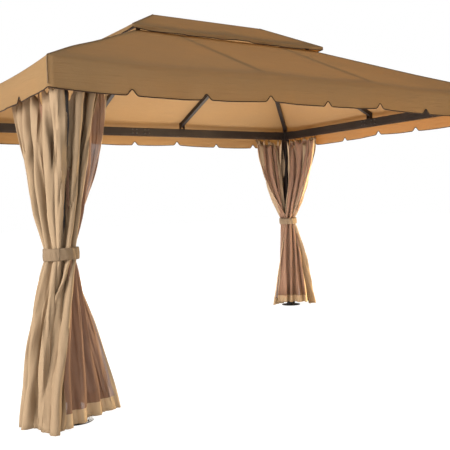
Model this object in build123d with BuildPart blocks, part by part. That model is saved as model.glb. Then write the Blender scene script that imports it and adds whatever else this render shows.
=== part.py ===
"""Soft-top garden gazebo with a double roof, tied-back curtains and nets, in millimetres.

The long side runs along X, the short side along Y, and Z is up.
The origin lies on the floor under the middle of the roof.
"""
from build123d import *
import os
from math import atan
from math import cos
from math import hypot
from math import sqrt

# Roof outline and heights
ROOF_LENGTH = 4000.0
ROOF_WIDTH = 2920.0
EAVE_HEIGHT = 2010.0
ROOF_RISE = 507.0
VENT_LENGTH = 1704.0
CLOTH = 4.0
CLOTH_GAP = 0.5

# Scalloped valance
VALANCE_DROP = 176.0
LONG_SCALLOP_COUNT = 8
SHORT_SCALLOP_COUNT = 6
SCALLOP_SAG = 5.0
NOTCH_MOUTH = 88.0
NOTCH_WIDTH = 42.0
NOTCH_FLARE = 13.0

# Upper tier
CAP_OVERLAP = 80.0
CAP_LIFT = 20.0
CAP_RISE = 206.0
CAP_HEM = 22.0
CAP_TUBE = 25.0
CAP_TIP_INSET = 22.0
HUB_DIAMETER = 54.0
HUB_HEIGHT = 44.0

# Posts and feet
POST_SIZE = 60.0
POST_WALL = 1.5
POST_INSET = 118.0
FOOT_DIAMETER = 210.0
FOOT_THICKNESS = 4.0
COLLAR_WALL = 4.0
COLLAR_HEIGHT = 52.0
ANCHOR_CIRCLE = 164.0
ANCHOR_HOLE = 12.0
ANCHOR_COUNT = 4
ANCHOR_TURN = 45.0

# Beams, splices and rails
BEAM_DROP = 20.0
BEAM_WIDTH = 40.0
BEAM_DEPTH = 66.0
BEAM_WALL = 1.5
SPLICE_LENGTH = 240.0
RAIL_DEPTH = 16.0
RAIL_WALL = 2.0
RAIL_SLOT = 7.0

# Rafters and the crown ring
RAFTER_SIZE = 38.0
RAFTER_WALL = 1.2
RAFTER_SPACING = 1000.0
HIP_TIP_INSET = 45.0
RING_WIDTH = 30.0
RING_DEPTH = 38.0
TUBE_WALL = 1.2

# Brackets
PLATE = 3.0
CHEEK_LENGTH = 84.0
BRACKET_TAB = 130.0

# Curtains, nets and ties
HEM_HEIGHT = 20.0
TIE_HEIGHT = 950.0
TIE_WIDTH = 74.0
TIE_THICKNESS = 3.0
CURTAIN_LEG_X = 400.0
CURTAIN_LEG_Y = 640.0
CURTAIN_DEPTH = 90.0
CURTAIN_OUTER = 57.0
NET_DEPTH = 45.0
TIE_BUNDLE = 122.0
NET_BUNDLE = 22.0
NET_INSET = 20.0
FULL_HEIGHT = 1420.0
FULLNESS = 0.72
FLARE_X = 320.0
FLARE_Y = 350.0
FLARE_INNER = 60.0
FLARE_END = 330.0
FLARE_FRONT = 230.0
NET_FLARE = 56.0

# Clearances
SNUG = 0.3
SOFT_GAP = 0.5

# Worked out from the sizes above
half_length = ROOF_LENGTH / 2
half_width = ROOF_WIDTH / 2
vent_x = VENT_LENGTH / 2
vent_y = vent_x - (half_length - half_width)
vent_height = EAVE_HEIGHT + ROOF_RISE
roof_slope = ROOF_RISE / (half_width - vent_y)
post_x = half_length - POST_INSET
post_y = half_width - POST_INSET
beam_top = EAVE_HEIGHT - BEAM_DROP
beam_under = beam_top - BEAM_DEPTH
rail_under = beam_under - RAIL_DEPTH
cap_x = vent_x + CAP_OVERLAP
cap_y = vent_y + CAP_OVERLAP
cap_height = vent_height + CAP_LIFT
ridge_x = cap_x - cap_y
ridge_height = cap_height + CAP_RISE
cap_slope = CAP_RISE / cap_y
curtain_top = rail_under - SOFT_GAP
tie_over = TIE_HEIGHT + TIE_WIDTH / 2
tie_below = TIE_HEIGHT - TIE_WIDTH / 2

CORNERS = {
    "front_left": (-1, -1),
    "back_left": (-1, 1),
    "back_right": (1, 1),
    "front_right": (1, -1),
}

os.makedirs("parts", exist_ok=True)


def save(part, name):
    """Label a finished piece and write it."""
    part.label = name
    export_step(part, f"parts/{name}.step")


def roof_under(distance_from_middle):
    """Height of the underside of the main canopy over a long side."""
    return EAVE_HEIGHT + (half_width - CLOTH - distance_from_middle) * roof_slope


def cap_under(distance_from_middle):
    """Height of the underside of the top canopy over its long side."""
    return cap_height + (cap_y - CLOTH - distance_from_middle) * cap_slope


def square_tube(plane, width, depth, wall, length):
    """Hollow rectangular tube that grows from a plane along its normal."""
    with BuildPart() as tube:
        with BuildSketch(plane):
            RectangleRounded(width, depth, wall * 2)
            RectangleRounded(width - 2 * wall, depth - 2 * wall, wall, mode=Mode.SUBTRACT)
        extrude(amount=length)
    return tube.part


def make_feet():
    """Round anchor plates, each with a square collar round the foot of its post."""
    collar = POST_SIZE + 2 * (COLLAR_WALL + SNUG)
    places = [(sx * post_x, sy * post_y) for sx, sy in CORNERS.values()]
    with BuildPart() as feet:
        with BuildSketch(Plane.XY):
            with Locations(*places):
                Circle(FOOT_DIAMETER / 2)
                with PolarLocations(ANCHOR_CIRCLE / 2, ANCHOR_COUNT, start_angle=ANCHOR_TURN):
                    Circle(ANCHOR_HOLE / 2, mode=Mode.SUBTRACT)
        extrude(amount=FOOT_THICKNESS)
        with BuildSketch(Plane.XY.offset(FOOT_THICKNESS)):
            with Locations(*places):
                RectangleRounded(collar, collar, COLLAR_WALL)
                Rectangle(POST_SIZE + 2 * SNUG, POST_SIZE + 2 * SNUG, mode=Mode.SUBTRACT)
        extrude(amount=COLLAR_HEIGHT)
    return feet.part


def make_post(sx, sy):
    """Square hollow post from its foot plate to the top of the beams."""
    base = Plane((sx * post_x, sy * post_y, FOOT_THICKNESS))
    return square_tube(base, POST_SIZE, POST_SIZE, POST_WALL, beam_top - FOOT_THICKNESS)


def make_beam(start, direction, length):
    """Half of a beam, from its post to the splice."""
    middle = beam_top - BEAM_DEPTH / 2
    plane = Plane((start[0], start[1], middle), x_dir=(-direction[1], direction[0], 0),
                  z_dir=(direction[0], direction[1], 0))
    return square_tube(plane, BEAM_WIDTH, BEAM_DEPTH, BEAM_WALL, length)


def make_splices():
    """Sleeves inside the four beams, one across the middle of each."""
    width = BEAM_WIDTH - 2 * (BEAM_WALL + SNUG)
    depth = BEAM_DEPTH - 2 * (BEAM_WALL + SNUG)
    middle = beam_top - BEAM_DEPTH / 2
    with BuildPart() as sleeves:
        for sy in (-1, 1):
            with BuildSketch(Plane((-SPLICE_LENGTH / 2, sy * post_y, middle), x_dir=(0, 1, 0),
                                   z_dir=(1, 0, 0))):
                RectangleRounded(width, depth, 2 * BEAM_WALL)
                RectangleRounded(width - 2 * BEAM_WALL, depth - 2 * BEAM_WALL, BEAM_WALL,
                                 mode=Mode.SUBTRACT)
            extrude(amount=SPLICE_LENGTH)
        for sx in (-1, 1):
            with BuildSketch(Plane((sx * post_x, -SPLICE_LENGTH / 2, middle), x_dir=(1, 0, 0),
                                   z_dir=(0, 1, 0))):
                RectangleRounded(width, depth, 2 * BEAM_WALL)
                RectangleRounded(width - 2 * BEAM_WALL, depth - 2 * BEAM_WALL, BEAM_WALL,
                                 mode=Mode.SUBTRACT)
            extrude(amount=SPLICE_LENGTH)
    return sleeves.part


def make_rails():
    """Double curtain tracks under the beams: two channels each, open along a slot below."""
    channel = (BEAM_WIDTH - 3 * RAIL_WALL) / 2
    track = (channel + RAIL_WALL) / 2
    hollow_depth = RAIL_DEPTH - 2 * RAIL_WALL
    middle = beam_under - RAIL_DEPTH / 2
    long_run = 2 * (post_x - POST_SIZE / 2)
    short_run = 2 * (post_y - POST_SIZE / 2)
    runs = []
    for side in (-1, 1):
        runs.append((Plane((-long_run / 2, side * post_y, middle), x_dir=(0, 1, 0),
                           z_dir=(1, 0, 0)), long_run))
        runs.append((Plane((side * post_x, short_run / 2, middle), x_dir=(1, 0, 0),
                           z_dir=(0, -1, 0)), short_run))
    with BuildPart() as rails:
        for plane, length in runs:
            with BuildSketch(plane):
                Rectangle(BEAM_WIDTH, RAIL_DEPTH)
                with Locations((-track, 0), (track, 0)):
                    Rectangle(channel, hollow_depth, mode=Mode.SUBTRACT)
                    Rectangle(RAIL_SLOT, 2 * RAIL_DEPTH, align=(Align.CENTER, Align.MAX),
                              mode=Mode.SUBTRACT)
            extrude(amount=length)
    return rails.part


def hip_plane(height, sx, sy):
    """Plane across a hip, with its normal up the slope and its x direction level."""
    run = half_width - CLOTH - vent_y
    rise = run * roof_slope
    return Plane((sx * (half_length - CLOTH), sy * (half_width - CLOTH), height),
                 x_dir=(sy, -sx, 0),
                 z_dir=(-sx * run, -sy * run, rise))


def make_hip(sx, sy):
    """Hip rafter on the diagonal, with a compound cut round the corner of the crown ring."""
    side_drop = RAFTER_SIZE / 2 / sqrt(2) * roof_slope
    plan_run = (half_width - CLOTH - vent_y) * sqrt(2)
    rise = (half_width - CLOTH - vent_y) * roof_slope
    length = hypot(plan_run, rise)
    tilt = cos(atan(rise / plan_run))
    centre_drop = RAFTER_SIZE / 2 / tilt + side_drop + CLOTH_GAP
    plane = hip_plane(EAVE_HEIGHT - centre_drop, sx, sy)
    with BuildPart() as hip:
        with BuildSketch(plane.offset(HIP_TIP_INSET)):
            RectangleRounded(RAFTER_SIZE, RAFTER_SIZE, RAFTER_WALL * 2)
            RectangleRounded(RAFTER_SIZE - 2 * RAFTER_WALL, RAFTER_SIZE - 2 * RAFTER_WALL,
                             RAFTER_WALL, mode=Mode.SUBTRACT)
        extrude(amount=length)
        with BuildSketch(Plane.XY.offset(EAVE_HEIGHT)):
            Rectangle(2 * vent_x, 2 * vent_y)
        extrude(amount=ridge_height, mode=Mode.SUBTRACT)
    return hip.part


def make_rafter(along_x, offset, side):
    """Mid rafter straight up a slope, cut plumb at the beam and at the crown ring."""
    outer = (post_x if along_x else post_y) + BEAM_WIDTH / 2
    inner = vent_x if along_x else vent_y
    tilt = cos(atan(roof_slope))
    drop = RAFTER_SIZE / 2 / tilt + CLOTH_GAP
    eave = (half_length if along_x else half_width) - CLOTH
    reach = eave - inner
    if along_x:
        origin = (side * eave, offset, EAVE_HEIGHT - drop)
        level = (0, 1, 0)
        climb = (-side, 0, roof_slope)
    else:
        origin = (offset, side * eave, EAVE_HEIGHT - drop)
        level = (1, 0, 0)
        climb = (0, -side, roof_slope)
    with BuildPart() as rafter:
        with BuildSketch(Plane(origin, x_dir=level, z_dir=climb)):
            RectangleRounded(RAFTER_SIZE, RAFTER_SIZE, RAFTER_WALL * 2)
            RectangleRounded(RAFTER_SIZE - 2 * RAFTER_WALL, RAFTER_SIZE - 2 * RAFTER_WALL,
                             RAFTER_WALL, mode=Mode.SUBTRACT)
        extrude(amount=2 * reach)
        if along_x:
            split(bisect_by=Plane((side * outer, 0, 0), z_dir=(side, 0, 0)), keep=Keep.BOTTOM)
            split(bisect_by=Plane((side * inner, 0, 0), z_dir=(side, 0, 0)), keep=Keep.TOP)
        else:
            split(bisect_by=Plane((0, side * outer, 0), z_dir=(0, side, 0)), keep=Keep.BOTTOM)
            split(bisect_by=Plane((0, side * inner, 0), z_dir=(0, side, 0)), keep=Keep.TOP)
    return rafter.part


def rafter_seats():
    """Place, direction and side of each mid rafter: along X or along Y."""
    seats = []
    for side, word in ((-1, "front"), (1, "back")):
        seats.append((f"rafter_{word}_left", False, -RAFTER_SPACING / 2, side))
        seats.append((f"rafter_{word}_right", False, RAFTER_SPACING / 2, side))
    seats.append(("rafter_left", True, 0.0, -1))
    seats.append(("rafter_right", True, 0.0, 1))
    return seats


def make_rafter_brackets():
    """Bent U brackets on the beams: a base plate and two cheeks round each mid rafter."""
    inside = RAFTER_SIZE + 2 * SNUG
    outside = inside + 2 * PLATE
    with BuildPart() as brackets:
        for _, along_x, offset, side in rafter_seats():
            line = post_x if along_x else post_y
            eave_gap = (half_length if along_x else half_width) - line
            under = EAVE_HEIGHT + (eave_gap - CLOTH) * roof_slope
            cheek_height = under - beam_top
            if along_x:
                centre = (side * line, offset)
                base = (BEAM_WIDTH, outside)
                bore = (2 * BEAM_WIDTH, inside)
            else:
                centre = (offset, side * line)
                base = (outside, BEAM_WIDTH)
                bore = (inside, 2 * BEAM_WIDTH)
            with BuildSketch(Plane.XY.offset(beam_top)):
                with Locations(centre):
                    Rectangle(base[0], base[1])
            extrude(amount=cheek_height)
            with BuildSketch(Plane.XY.offset(beam_top + PLATE)):
                with Locations(centre):
                    Rectangle(bore[0], bore[1])
            extrude(amount=cheek_height, mode=Mode.SUBTRACT)
        add(roof_space(), mode=Mode.SUBTRACT)
    return brackets.part


def make_corner_brackets():
    """Plates over the posts and beams, with cheeks that carry the hip rafters."""
    inside = RAFTER_SIZE + 2 * SNUG
    under = EAVE_HEIGHT + (POST_INSET - CLOTH) * roof_slope
    cheek_height = 2 * (under - beam_top)
    tab = (POST_SIZE + BRACKET_TAB) / 2
    with BuildPart() as brackets:
        for sx, sy in CORNERS.values():
            with BuildSketch(Plane.XY.offset(beam_top)):
                with Locations((sx * post_x, sy * post_y)):
                    Rectangle(POST_SIZE, POST_SIZE)
                with Locations((sx * (post_x - tab), sy * post_y)):
                    Rectangle(BRACKET_TAB, BEAM_WIDTH)
                with Locations((sx * post_x, sy * (post_y - tab))):
                    Rectangle(BEAM_WIDTH, BRACKET_TAB)
            extrude(amount=PLATE)
            diagonal = Plane((sx * post_x, sy * post_y, beam_top), x_dir=(-sx, -sy, 0),
                             z_dir=(0, 0, 1))
            with BuildSketch(diagonal):
                with Locations((0, (inside + PLATE) / 2), (0, -(inside + PLATE) / 2)):
                    Rectangle(CHEEK_LENGTH, PLATE)
            extrude(amount=cheek_height)
        add(roof_space(), mode=Mode.SUBTRACT)
    return brackets.part


def roof_space():
    """Block of everything above the underside of the main canopy, less its clearance."""
    low = EAVE_HEIGHT - CLOTH_GAP - CLOTH * roof_slope
    with BuildPart() as space:
        for face, edge, reach in (
            (Plane.YZ, half_width, half_length),
            (Plane.XZ, half_length, half_width),
        ):
            peak = low + edge * roof_slope
            above = peak + ROOF_RISE
            with BuildSketch(face):
                with BuildLine():
                    Polyline((edge, above), (edge, low), (0, peak), (-edge, low), (-edge, above),
                             close=True)
                make_face()
            extrude(amount=reach, both=True)
    return space.part


def make_ring(along_x):
    """Two facing tubes of the crown ring, mitred at their ends."""
    line = (vent_y if along_x else vent_x) - RING_WIDTH / 2
    reach = vent_x if along_x else vent_y
    middle = roof_under(vent_y) - CLOTH_GAP - RING_DEPTH / 2
    with BuildPart() as ring:
        for side in (-1, 1):
            if along_x:
                plane = Plane((-reach, side * line, middle), x_dir=(0, 1, 0), z_dir=(1, 0, 0))
            else:
                plane = Plane((side * line, -reach, middle), x_dir=(1, 0, 0), z_dir=(0, 1, 0))
            with BuildSketch(plane):
                Rectangle(RING_WIDTH, RING_DEPTH)
                Rectangle(RING_WIDTH - 2 * TUBE_WALL, RING_DEPTH - 2 * TUBE_WALL,
                          mode=Mode.SUBTRACT)
            extrude(amount=2 * reach)
        for sx, sy in CORNERS.values():
            corner = (sx * vent_x, sy * vent_y)
            inward = (sx * (vent_x - vent_y), 0)
            far = (sx * vent_x, 0) if along_x else (sx * (vent_x - vent_y), sy * vent_y)
            with BuildSketch(Plane.XY.offset(middle)):
                with BuildLine():
                    Polyline(corner, inward, far, close=True)
                make_face()
            extrude(amount=RING_DEPTH, both=True, mode=Mode.SUBTRACT)
    return ring.part


def cap_hip_tube(sx, sy):
    """Tube of the upper tier from a canopy corner to its end of the ridge."""
    run = cap_y - CLOTH
    rise = run * cap_slope
    plan_run = run * sqrt(2)
    tilt = cos(atan(rise / plan_run))
    drop = CAP_TUBE / 2 / tilt + CAP_TUBE / 2 / sqrt(2) * cap_slope + CLOTH_GAP
    plane = Plane((sx * (cap_x - CLOTH), sy * (cap_y - CLOTH), cap_height - drop),
                  x_dir=(sy, -sx, 0), z_dir=(-sx * run, -sy * run, rise))
    with BuildPart() as tube:
        with BuildSketch(plane.offset(CAP_TIP_INSET)):
            Rectangle(CAP_TUBE, CAP_TUBE)
            Rectangle(CAP_TUBE - 2 * TUBE_WALL, CAP_TUBE - 2 * TUBE_WALL, mode=Mode.SUBTRACT)
        extrude(amount=hypot(plan_run, rise) - CAP_TIP_INSET)
    return tube.part


def hub_top():
    """Height of the top of the hubs at the ends of the ridge."""
    return cap_under(HUB_DIAMETER / 2) - CLOTH_GAP


def make_cap_frame():
    """Upper tier: four short hips cut round two hubs, and the ridge tube between these."""
    ridge_length = 2 * (ridge_x - HUB_DIAMETER / 2 - SNUG)
    ridge_middle = hub_top() - HUB_HEIGHT / 2
    ridge_plane = Plane((-ridge_length / 2, 0, ridge_middle), x_dir=(0, 1, 0), z_dir=(1, 0, 0))
    with BuildPart() as frame:
        for sx, sy in CORNERS.values():
            add(cap_hip_tube(sx, sy))
        with BuildSketch(Plane.XY.offset(vent_height)):
            with Locations((-ridge_x, 0), (ridge_x, 0)):
                Circle(HUB_DIAMETER / 2 + SNUG)
        extrude(amount=2 * CAP_RISE, mode=Mode.SUBTRACT)
        with BuildSketch(Plane.XY.offset(ridge_middle - HUB_HEIGHT / 2)):
            with Locations((-ridge_x, 0), (ridge_x, 0)):
                Circle(HUB_DIAMETER / 2)
        extrude(amount=HUB_HEIGHT)
        add(square_tube(ridge_plane, CAP_TUBE, CAP_TUBE, TUBE_WALL, ridge_length))
    return frame.part


def make_standoffs():
    """Short uprights from the ring corners to the upper hips, cut to their slope."""
    ring_top = roof_under(vent_y) - CLOTH_GAP
    inset = (RING_WIDTH + CLOTH) / 2
    with BuildPart() as standoffs:
        with BuildSketch(Plane.XY.offset(ring_top)):
            with Locations(*[(sx * (vent_x - inset), sy * (vent_y - inset))
                             for sx, sy in CORNERS.values()]):
                Rectangle(CAP_TUBE, CAP_TUBE)
        extrude(amount=CAP_RISE / 2)
        for sx, sy in CORNERS.values():
            run = cap_y - CLOTH
            rise = run * cap_slope
            plan_run = run * sqrt(2)
            tilt = cos(atan(rise / plan_run))
            drop = CAP_TUBE / tilt + CAP_TUBE / 2 / sqrt(2) * cap_slope + CLOTH_GAP
            plane = Plane((sx * (cap_x - CLOTH), sy * (cap_y - CLOTH), cap_height - drop),
                          x_dir=(sy, -sx, 0), z_dir=(sx * rise, sy * rise, plan_run * sqrt(2)))
            with BuildSketch(plane):
                Rectangle(2 * plan_run, 2 * plan_run)
            extrude(amount=CAP_RISE, mode=Mode.SUBTRACT)
    return standoffs.part


def scallop_cut(span, count):
    """Outline below a scalloped hem, from corner to corner, notched where scallops meet."""
    low = EAVE_HEIGHT - VALANCE_DROP
    pitch = span / count
    start = -span / 2
    shoulder = low + SCALLOP_SAG
    points_x = [start + index * pitch for index in range(count + 1)]
    with BuildLine() as hem:
        for index in range(count):
            left = points_x[index] + (NOTCH_MOUTH / 2 if index else 0)
            right = points_x[index + 1] - (NOTCH_MOUTH / 2 if index < count - 1 else 0)
            ThreePointArc((left, shoulder), ((left + right) / 2, low), (right, shoulder))
            if index < count - 1:
                neck = shoulder + NOTCH_FLARE
                neck_left = points_x[index + 1] - NOTCH_WIDTH / 2
                neck_right = points_x[index + 1] + NOTCH_WIDTH / 2
                bend = (neck_left - right) / 2
                ThreePointArc((right, shoulder), (right + 1.3 * bend, shoulder + NOTCH_FLARE / 3),
                              (neck_left, neck))
                RadiusArc((neck_left, neck), (neck_right, neck), NOTCH_WIDTH / 2)
                mouth_right = points_x[index + 1] + NOTCH_MOUTH / 2
                ThreePointArc((neck_right, neck), (mouth_right - 1.3 * bend, shoulder + NOTCH_FLARE / 3),
                              (mouth_right, shoulder))
        Polyline((span / 2, shoulder), (span / 2 + CLOTH, shoulder),
                 (span / 2 + CLOTH, low - VALANCE_DROP), (start - CLOTH, low - VALANCE_DROP),
                 (start - CLOTH, shoulder), (start, shoulder))
    return hem.line


def frustum(bottom, low, top, high, centre=(0, 0), top_centre=(0, 0)):
    """Block between two level rectangles, with flat sides."""
    low_x = centre[0] - bottom[0] / 2
    far_y = centre[1] + bottom[1] / 2
    top_x = top_centre[0] - top[0] / 2 - low_x
    top_y = far_y - top_centre[1] - top[1] / 2
    block = Solid.make_wedge(bottom[0], high - low, bottom[1], top_x, top_y,
                             top_x + top[0], top_y + top[1])
    return Pos(low_x, far_y, low) * Rotation(90, 0, 0) * block


def make_canopy_shell():
    """Whole lower canopy: four slopes round an open vent, and a scalloped valance."""
    with BuildPart() as canopy:
        add(frustum((ROOF_LENGTH, ROOF_WIDTH), EAVE_HEIGHT, (2 * vent_x, 2 * vent_y), vent_height))
        with BuildSketch(Plane.XY.offset(EAVE_HEIGHT)):
            Rectangle(ROOF_LENGTH, ROOF_WIDTH)
        extrude(amount=-VALANCE_DROP)
        add(frustum((ROOF_LENGTH - 2 * CLOTH, ROOF_WIDTH - 2 * CLOTH), EAVE_HEIGHT,
                    (2 * (vent_x - CLOTH), 2 * (vent_y - CLOTH)), vent_height), mode=Mode.SUBTRACT)
        with BuildSketch(Plane.XY.offset(EAVE_HEIGHT)):
            Rectangle(ROOF_LENGTH - 2 * CLOTH, ROOF_WIDTH - 2 * CLOTH)
        extrude(amount=-VALANCE_DROP, mode=Mode.SUBTRACT)
        with BuildSketch(Plane.XZ):
            add(scallop_cut(ROOF_LENGTH, LONG_SCALLOP_COUNT))
            make_face()
        extrude(amount=ROOF_WIDTH, both=True, mode=Mode.SUBTRACT)
        with BuildSketch(Plane.YZ):
            add(scallop_cut(ROOF_WIDTH, SHORT_SCALLOP_COUNT))
            make_face()
        extrude(amount=ROOF_LENGTH, both=True, mode=Mode.SUBTRACT)
    return canopy.part


def make_canopy_panel(shell, corners):
    """One sewn panel of the canopy with its strip of valance, cut along the hip seams."""
    with BuildPart() as panel:
        add(shell)
        with BuildSketch(Plane.XY):
            with BuildLine():
                Polyline(*corners, close=True)
            make_face()
        extrude(amount=ridge_height, mode=Mode.INTERSECT)
    return panel.part


def make_top_canopy():
    """Small upper canopy over the vent, open below, with a short hem."""
    with BuildPart() as canopy:
        add(frustum((2 * cap_x, 2 * cap_y), cap_height,
                    (2 * ridge_x + 3 * CLOTH, 3 * CLOTH), ridge_height))
        with BuildSketch(Plane.XY.offset(cap_height)):
            Rectangle(2 * cap_x, 2 * cap_y)
        extrude(amount=-CAP_HEM)
        add(frustum((2 * (cap_x - CLOTH), 2 * (cap_y - CLOTH)), cap_height,
                    (2 * ridge_x + CLOTH, CLOTH), ridge_height - CLOTH / 2), mode=Mode.SUBTRACT)
        with BuildSketch(Plane.XY.offset(cap_height)):
            Rectangle(2 * (cap_x - CLOTH), 2 * (cap_y - CLOTH))
        extrude(amount=-CAP_HEM, mode=Mode.SUBTRACT)
    return canopy.part


def gathered(corner, levels):
    """Gathered cloth between level rectangles: each level has a height, an x and a y range.

    The ranges are measured inward from the middle of the post.
    """
    sx, sy = corner
    with BuildPart() as leg:
        for (low, low_x, low_y), (high, high_x, high_y) in zip(levels, levels[1:]):
            add(frustum(
                (low_x[1] - low_x[0], low_y[1] - low_y[0]), low,
                (high_x[1] - high_x[0], high_y[1] - high_y[0]), high,
                (sx * (post_x - sum(low_x) / 2), sy * (post_y - sum(low_y) / 2)),
                (sx * (post_x - sum(high_x) / 2), sy * (post_y - sum(high_y) / 2)),
            ))
    return leg.part


def full(tied, spread):
    """Range of gathered cloth at its full height, between its tied and its spread range."""
    return tuple(low + FULLNESS * (high - low) for low, high in zip(tied, spread))


def make_curtain(corner):
    """Two curtain panels gathered along the beams, tied round the post and flared below."""
    sx, sy = corner
    inner = CURTAIN_DEPTH - CURTAIN_OUTER
    tie = (-TIE_BUNDLE / 2, TIE_BUNDLE / 2)
    top = (-CURTAIN_OUTER, inner)
    along_x = (-CURTAIN_OUTER, CURTAIN_LEG_X)
    along_y = (-CURTAIN_OUTER, CURTAIN_LEG_Y)
    post_hole = POST_SIZE + 2 * SOFT_GAP
    collar_hole = POST_SIZE + 2 * (COLLAR_WALL + SNUG + SOFT_GAP)
    collar_top = FOOT_THICKNESS + COLLAR_HEIGHT + SOFT_GAP
    with BuildPart() as curtain:
        add(gathered(corner, [
            (HEM_HEIGHT, (-FLARE_END, FLARE_X), (-FLARE_FRONT, FLARE_INNER)),
            (tie_below, tie, tie),
            (tie_over, tie, tie),
            (FULL_HEIGHT, full(tie, along_x), full(tie, top)),
            (curtain_top, along_x, top),
        ]))
        add(gathered(corner, [
            (HEM_HEIGHT, (-FLARE_END, FLARE_INNER), (-FLARE_FRONT, FLARE_Y)),
            (tie_below, tie, tie),
            (tie_over, tie, tie),
            (FULL_HEIGHT, full(tie, top), full(tie, along_y)),
            (curtain_top, top, along_y),
        ]))
        with BuildSketch(Plane.XY):
            with Locations((sx * post_x, sy * post_y)):
                Rectangle(post_hole, post_hole)
        extrude(amount=beam_top, mode=Mode.SUBTRACT)
        with BuildSketch(Plane.XY):
            with Locations((sx * post_x, sy * post_y)):
                Rectangle(collar_hole, collar_hole)
        extrude(amount=collar_top, mode=Mode.SUBTRACT)
    return curtain.part


def make_net(corner):
    """Two mosquito nets gathered just inside the curtains, held by the same tie."""
    inner = CURTAIN_DEPTH - CURTAIN_OUTER + SOFT_GAP
    tie_start = TIE_BUNDLE / 2 + SOFT_GAP
    tie = (tie_start, tie_start + NET_BUNDLE)
    top = (inner, inner + NET_DEPTH)
    flare = (FLARE_INNER + SOFT_GAP, FLARE_INNER + SOFT_GAP + NET_FLARE)
    flare_start = max(tie_start, flare[0])
    along_x = (CURTAIN_OUTER, CURTAIN_LEG_X - NET_INSET)
    along_y = (CURTAIN_OUTER, CURTAIN_LEG_Y - NET_INSET)
    with BuildPart() as net:
        add(gathered(corner, [
            (HEM_HEIGHT, (flare_start, FLARE_X - NET_INSET), flare),
            (tie_below, tie, tie),
            (tie_over, tie, tie),
            (FULL_HEIGHT, full(tie, along_x), full(tie, top)),
            (curtain_top, along_x, top),
        ]))
        add(gathered(corner, [
            (HEM_HEIGHT, flare, (flare_start, FLARE_Y - NET_INSET)),
            (tie_below, tie, tie),
            (tie_over, tie, tie),
            (FULL_HEIGHT, full(tie, top), full(tie, along_y)),
            (curtain_top, top, along_y),
        ]))
    return net.part


def make_ties():
    """Fabric bands round each bundle of curtain and net."""
    curtain_reach = TIE_BUNDLE / 2 * sqrt(2)
    net_reach = (TIE_BUNDLE / 2 + SOFT_GAP + NET_BUNDLE) * sqrt(2)
    inner_radius = (curtain_reach + net_reach) / 2 + SOFT_GAP
    shift = (net_reach - curtain_reach) / 2 / sqrt(2)
    with BuildPart() as ties:
        for sx, sy in CORNERS.values():
            with BuildSketch(Plane.XY.offset(TIE_HEIGHT - TIE_WIDTH / 2)):
                with Locations((sx * (post_x - shift), sy * (post_y - shift))):
                    Circle(inner_radius + TIE_THICKNESS)
                    Circle(inner_radius, mode=Mode.SUBTRACT)
            extrude(amount=TIE_WIDTH)
    return ties.part


for corner_name, (side_x, side_y) in CORNERS.items():
    save(make_post(side_x, side_y), f"post_{corner_name}")
    save(make_hip(side_x, side_y), f"hip_{corner_name}")
    save(make_curtain((side_x, side_y)), f"curtain_{corner_name}")
    save(make_net((side_x, side_y)), f"net_{corner_name}")

post_face_x = post_x - POST_SIZE / 2
post_face_y = post_y - POST_SIZE / 2
for side_y, word in ((-1, "front"), (1, "back")):
    for side_x, end in ((-1, "left"), (1, "right")):
        save(make_beam((side_x * post_face_x, side_y * post_y), (-side_x, 0), post_face_x),
             f"beam_{word}_{end}")
for side_x, word in ((-1, "left"), (1, "right")):
    for side_y, end in ((-1, "front"), (1, "back")):
        save(make_beam((side_x * post_x, side_y * post_face_y), (0, -side_y), post_face_y),
             f"beam_{word}_{end}")

for rafter_name, runs_along_x, place, rafter_side in rafter_seats():
    save(make_rafter(runs_along_x, place, rafter_side), rafter_name)

save(make_feet(), "feet")
save(make_splices(), "splice_sleeves")
save(make_rails(), "curtain_rails")
save(make_corner_brackets(), "corner_brackets")
save(make_rafter_brackets(), "rafter_brackets")
save(make_ring(True), "crown_long")
save(make_ring(False), "crown_short")
save(make_standoffs(), "crown_standoffs")
save(make_cap_frame(), "cap_frame")

canopy_shell = make_canopy_shell()
far_x = ROOF_LENGTH / 2
far_y = ROOF_WIDTH / 2
ridge_end = far_x - far_y
for word, side_y in (("front", -1), ("back", 1)):
    outline = [(-far_x, side_y * far_y), (far_x, side_y * far_y), (ridge_end, 0), (-ridge_end, 0)]
    save(make_canopy_panel(canopy_shell, outline), f"canopy_{word}")
for word, side_x in (("left", -1), ("right", 1)):
    outline = [(side_x * far_x, -far_y), (side_x * far_x, far_y), (side_x * ridge_end, 0)]
    save(make_canopy_panel(canopy_shell, outline), f"canopy_{word}")
save(make_top_canopy(), "canopy_top")
save(make_ties(), "ties")
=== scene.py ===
"""Dressed model of a soft-top garden gazebo: cloth roofs, gathered curtains and nets, painted frame.

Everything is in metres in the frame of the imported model: the long side runs along X, Z is up
and the origin lies on the floor under the middle of the roof.
"""

import logging
import math
from dataclasses import dataclass, field
from enum import Enum

import bmesh
import bpy
import numpy as np
from mathutils import Matrix, Vector


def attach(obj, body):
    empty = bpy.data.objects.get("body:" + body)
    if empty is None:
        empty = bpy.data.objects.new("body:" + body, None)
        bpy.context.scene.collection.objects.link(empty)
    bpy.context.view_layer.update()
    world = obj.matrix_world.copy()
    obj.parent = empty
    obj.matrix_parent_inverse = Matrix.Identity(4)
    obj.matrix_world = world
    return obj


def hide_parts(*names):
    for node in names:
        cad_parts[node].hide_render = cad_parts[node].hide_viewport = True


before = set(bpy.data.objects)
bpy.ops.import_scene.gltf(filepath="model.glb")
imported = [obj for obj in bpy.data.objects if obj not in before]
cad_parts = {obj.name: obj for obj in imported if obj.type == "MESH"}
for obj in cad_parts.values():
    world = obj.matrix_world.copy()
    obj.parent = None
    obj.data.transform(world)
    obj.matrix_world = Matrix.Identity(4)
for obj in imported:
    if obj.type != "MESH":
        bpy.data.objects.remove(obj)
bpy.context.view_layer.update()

log = logging.getLogger("gazebo")

Colour = tuple[float, float, float]
Triple = tuple[float, float, float]
Plan = tuple[float, float]

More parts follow.
